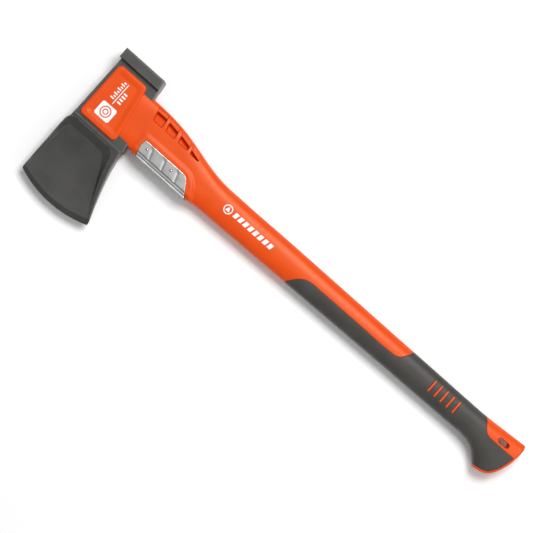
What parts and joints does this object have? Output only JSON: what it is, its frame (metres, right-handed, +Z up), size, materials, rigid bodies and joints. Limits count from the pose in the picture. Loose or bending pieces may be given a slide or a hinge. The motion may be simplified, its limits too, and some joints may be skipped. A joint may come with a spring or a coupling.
{
  "type": "splitting axe",
  "caption": "Splitting axe with a forged wedge head, hammer poll, fork-mounted composite handle, strike guard and soft grip, lying on its side.",
  "frame": {"origin": "on the ground under the centre of the axe's box, the axe lying on its side", "axes": "+X along the handle from the head to the butt, +Y towards the hammer poll, cutting edge towards -Y, +Z up through the thickness"},
  "size_m": [0.6996, 0.208, 0.041],
  "materials": {
    "forged_steel": "satin",
    "orange_composite": "satin",
    "soft_grip": "matte",
    "stainless_sheet": "satin",
    "pin_steel": "satin",
    "glass_fibre": "matte"
  },
  "bodies": {
    "root": {"axe_head": "forged_steel", "handle_body": "orange_composite", "cheek_cover_upper": "orange_composite", "cheek_cover_lower": "orange_composite", "head_lock_pins": "pin_steel", "strike_guard": "stainless_sheet", "guard_rivets": "stainless_sheet", "grip_overmould": "soft_grip", "fibre_core": "glass_fibre"}
  },
  "joints": []
}
